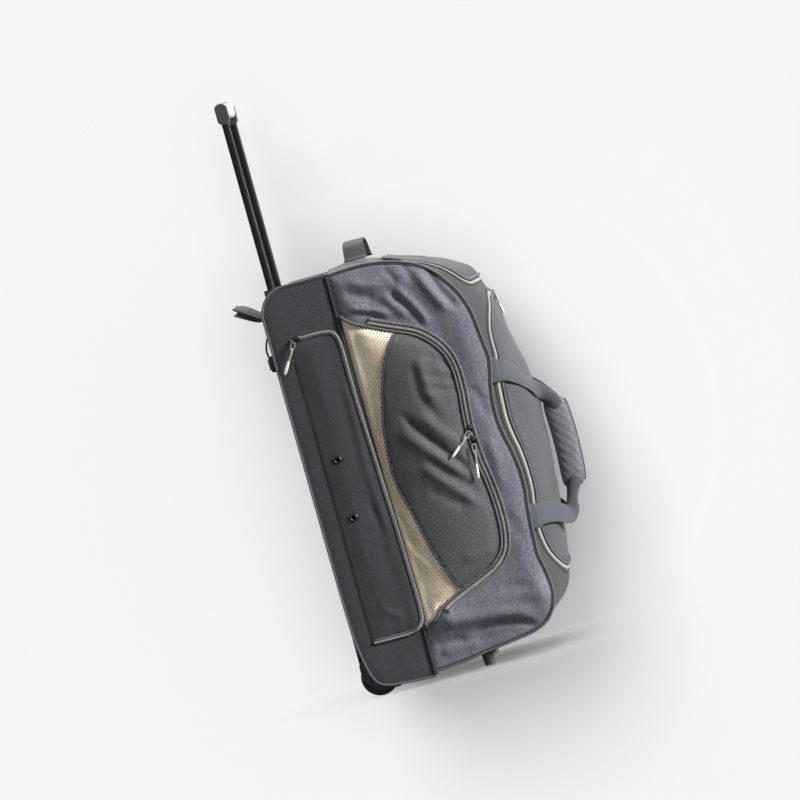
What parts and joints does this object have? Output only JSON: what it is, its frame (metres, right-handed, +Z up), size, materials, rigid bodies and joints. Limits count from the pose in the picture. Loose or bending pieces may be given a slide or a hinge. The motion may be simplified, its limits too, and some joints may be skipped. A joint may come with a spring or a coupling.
{
  "type": "rolling duffel bag",
  "caption": "Upright wheeled duffel bag with a telescopic handle, hinged lid, carrying loops, side pockets and a base door.",
  "frame": {"origin": "on the ground, under the middle of the whole object, with the bag standing on its wheels and stand feet", "axes": "+Z up along the long side of the bag and the telescopic handle, +Y towards the back panel and the handle, -Y towards the lid, X across the width"},
  "size_m": [0.3626, 0.5056, 1.04],
  "materials": {
    "charcoal_cloth": "matte woven polyester",
    "heather_cloth": "matte heathered polyester",
    "tan_mesh": "open warp-knit mesh",
    "webbing": "ribbed polyester webbing",
    "piping": "woven welt",
    "zip_tape": "knitted zip tape with moulded teeth",
    "pad_cloth": "matte heathered polyester",
    "board": "smooth",
    "black_plastic": "fine moulded grain",
    "black_tube": "gloss black anodised",
    "aluminium": "drawn",
    "grip_plastic": "satin",
    "button_plastic": "gloss",
    "tyre_rubber": "matte",
    "hub_plastic": "satin",
    "steel": "zinc plated",
    "foot_rubber": "matte",
    "pull_cord": "braided cord with a moulded end"
  },
  "bodies": {
    "root": {"back_panel": "charcoal_cloth", "back_board": "board", "base_top_panel": "charcoal_cloth", "base_bottom_panel": "charcoal_cloth", "base_side_left": "charcoal_cloth", "base_side_right": "charcoal_cloth", "divider_panel": "charcoal_cloth", "main_side_left": "heather_cloth", "main_side_right": "heather_cloth", "gusset_top": "charcoal_cloth", "gusset_bottom": "charcoal_cloth", "lid_frame": "charcoal_cloth", "seam_piping": "piping", "zip_tapes": "zip_tape", "end_pocket": "charcoal_cloth", "outer_tubes": "aluminium", "handle_bezel": "black_plastic", "tube_bracket": "black_plastic", "wheel_housings": "black_plastic", "wheel_axles": "steel", "skid_guard": "black_plastic", "stand_feet": "foot_rubber", "strap_patches": "webbing", "grab_handle": "webbing", "cover_strap": "webbing", "cover_buckle": "black_plastic", "rivets": "steel"},
    "handle": {"inner_tubes": "black_tube", "grip_body": "grip_plastic", "grip_end_caps": "black_plastic", "tube_plugs": "black_plastic"},
    "button": {"release_button": "button_plastic", "push_rods": "aluminium"},
    "pins": {"lock_pins": "steel"},
    "wheel_left": {"tyre_left": "tyre_rubber", "hub_left": "hub_plastic"},
    "wheel_right": {"tyre_right": "tyre_rubber", "hub_right": "hub_plastic"},
    "lid": {"lid_flap": "charcoal_cloth"},
    "lid_zip": {"lid_slider": "steel"},
    "lid_tab": {"lid_pull": "pull_cord"},
    "loop_left": {"carry_strap_left": "webbing", "carry_pad_left": "pad_cloth"},
    "loop_right": {"carry_strap_right": "webbing", "carry_pad_right": "pad_cloth"},
    "door": {"base_door": "charcoal_cloth", "vent_eyelets": "steel"},
    "door_zip": {"door_slider": "steel"},
    "door_tab": {"door_pull": "pull_cord"},
    "pocket_left": {"pocket_panel_left": "charcoal_cloth", "pocket_mesh_left": "tan_mesh"},
    "upper_zip": {"pocket_slider_upper": "steel"},
    "upper_tab": {"pocket_pull_upper": "pull_cord"},
    "lower_zip": {"pocket_slider_lower": "steel"},
    "lower_tab": {"pocket_pull_lower": "pull_cord"},
    "pocket_right": {"pocket_panel_right": "charcoal_cloth", "pocket_mesh_right": "tan_mesh"},
    "right_zip": {"pocket_slider_right": "steel"},
    "right_tab": {"pocket_pull_right": "pull_cord"},
    "cover": {"cover_flap": "charcoal_cloth"}
  },
  "joints": [
    {"name": "handle_slide", "type": "slide", "parent": "root", "child": "handle", "axis": [0, 0, 1], "range_m": [-0.29, 0]},
    {"name": "button_press", "type": "slide", "parent": "handle", "child": "button", "axis": [0, 0, -1], "range_m": [0, 0.0022], "stiffness_N_per_m": 700, "springref_m": -0.004},
    {"name": "pin_retract", "type": "slide", "parent": "handle", "child": "pins", "axis": [0, -1, 0], "range_m": [0, 0.0022]},
    {"name": "wheel_left_spin", "type": "hinge", "parent": "root", "child": "wheel_left", "pos_m": [-0.138, 0.17425, 0.032], "axis": [1, 0, 0], "continuous": true},
    {"name": "wheel_right_spin", "type": "hinge", "parent": "root", "child": "wheel_right", "pos_m": [0.138, 0.17425, 0.032], "axis": [1, 0, 0], "continuous": true},
    {"name": "lid_open", "type": "hinge", "parent": "root", "child": "lid", "pos_m": [0.163, -0.14875, 0.366], "axis": [0, 0, 1], "range_deg": [0, 85], "deforming": ["carry_strap_left", "carry_strap_right"]},
    {"name": "lid_zip_run", "type": "slide", "parent": "lid", "child": "lid_zip", "axis": [1, 0, 0], "range_m": [-0.065, 0.065]},
    {"name": "lid_tab_lift", "type": "hinge", "parent": "lid_zip", "child": "lid_tab", "pos_m": [0, -0.1904, 0.60584], "axis": [-1, 0, 0], "range_deg": [0, 120]},
    {"name": "loop_left_swing", "type": "hinge", "parent": "root", "child": "loop_left", "pos_m": [-0.1525, -0.15687, 0.333], "axis": [0, 0, 1], "range_deg": [-153, 0]},
    {"name": "loop_right_swing", "type": "hinge", "parent": "root", "child": "loop_right", "pos_m": [0.163, -0.14875, 0.333], "axis": [0, 0, 1], "range_deg": [0, 85]},
    {"name": "door_open", "type": "hinge", "parent": "root", "child": "door", "pos_m": [-0.1729, 0.16564, 0.35], "axis": [0, 0, -1], "range_deg": [0, 90]},
    {"name": "door_zip_run", "type": "slide", "parent": "root", "child": "door_zip", "axis": [0, -1, 0], "range_m": [0, 0.05]},
    {"name": "door_tab_lift", "type": "hinge", "parent": "door_zip", "child": "door_tab", "pos_m": [-0.179, 0.16024, 0.616], "axis": [0, 0.8572, 0.515], "range_deg": [0, 100]},
    {"name": "pocket_left_open", "type": "hinge", "parent": "root", "child": "pocket_left", "pos_m": [-0.1786, 0.07534, 0.366], "axis": [0, 0, -1], "range_deg": [0, 70]},
    {"name": "upper_zip_run", "type": "slide", "parent": "pocket_left", "child": "upper_zip", "axis": [0, -0.0808, 0.9967], "range_m": [0, 0.055]},
    {"name": "upper_tab_lift", "type": "hinge", "parent": "upper_zip", "child": "upper_tab", "pos_m": [-0.1803, -0.09076, 0.393], "axis": [0, 0.6561, 0.7547], "range_deg": [0, 100]},
    {"name": "lower_zip_run", "type": "slide", "parent": "pocket_left", "child": "lower_zip", "axis": [0, -0.0499, -0.9988], "range_m": [0, 0.07]},
    {"name": "lower_tab_lift", "type": "hinge", "parent": "lower_zip", "child": "lower_tab", "pos_m": [-0.1803, -0.09276, 0.373], "axis": [0, 0.9945, 0.1045], "range_deg": [0, 100]},
    {"name": "pocket_right_open", "type": "hinge", "parent": "root", "child": "pocket_right", "pos_m": [0.1786, 0.07534, 0.366], "axis": [0, 0, 1], "range_deg": [0, 70]},
    {"name": "right_zip_run", "type": "slide", "parent": "pocket_right", "child": "right_zip", "axis": [0, -0.0499, -0.9988], "range_m": [0, 0.07]},
    {"name": "right_tab_lift", "type": "hinge", "parent": "right_zip", "child": "right_tab", "pos_m": [0.1803, -0.09276, 0.373], "axis": [0, -0.9945, -0.1045], "range_deg": [0, 100]},
    {"name": "cover_flip", "type": "hinge", "parent": "root", "child": "cover", "pos_m": [0, 0.20245, 0.66], "axis": [1, 0, 0], "range_deg": [-100, 35]}
  ],
  "couplings": [
    {"joint": "pin_retract", "follows": "button_press", "ratio": 1},
    {"joint": "loop_left_swing", "follows": "lid_open", "ratio": -1.8},
    {"joint": "loop_right_swing", "follows": "lid_open", "ratio": 1}
  ]
}
